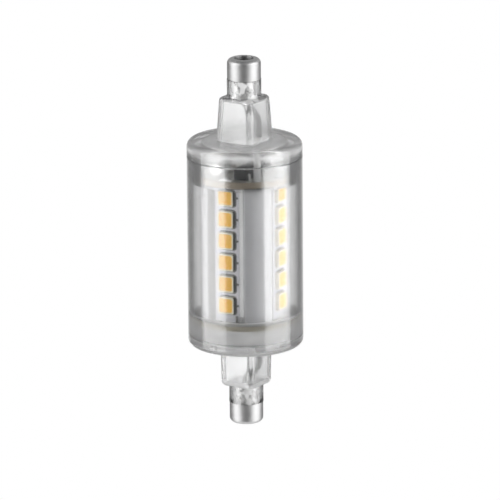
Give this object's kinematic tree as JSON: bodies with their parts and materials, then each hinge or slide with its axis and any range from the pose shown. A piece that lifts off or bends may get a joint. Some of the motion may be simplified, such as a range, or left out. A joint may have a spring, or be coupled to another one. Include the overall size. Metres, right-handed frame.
{
  "type": "linear led bulb",
  "caption": "Clear double-ended LED lamp with a recessed contact at each end, square collars and LED strips on a round heat sink inside a tube.",
  "frame": {"origin": "middle of the lamp, on its axis, half way between the two contact ends", "axes": "+Z along the lamp's axis towards the end cap's contact, -Y out of the first LED board"},
  "size_m": [0.024, 0.024, 0.078],
  "materials": {
    "clear_plastic": "clear, polished",
    "plated_metal": "bright plated",
    "aluminium": "satin extrusion",
    "tan_board": "laminate",
    "white_board": "solder mask",
    "white_package": "moulded",
    "phosphor": "cast resin",
    "black_moulding": "moulded",
    "resistor_lacquer": "lacquer",
    "capacitor_sleeve": "shrunk sleeve",
    "white_insulation": "soft sleeve"
  },
  "bodies": {
    "root": {"tube_housing": "clear_plastic", "end_cap": "clear_plastic", "upper_contact": "plated_metal", "lower_contact": "plated_metal", "heat_sink": "aluminium", "driver_board": "tan_board", "link_board": "tan_board", "bridge_rectifier": "black_moulding", "regulator_chip": "black_moulding", "fuse_resistor": "resistor_lacquer", "smoothing_capacitor": "capacitor_sleeve", "upper_lead": "white_insulation", "lower_lead": "white_insulation", "led_board_1": "white_board", "led_frames_1": "white_package", "led_phosphors_1": "phosphor", "led_board_2": "white_board", "led_frames_2": "white_package", "led_phosphors_2": "phosphor", "led_board_3": "white_board", "led_frames_3": "white_package", "led_phosphors_3": "phosphor", "led_board_4": "white_board", "led_frames_4": "white_package", "led_phosphors_4": "phosphor"}
  },
  "joints": []
}
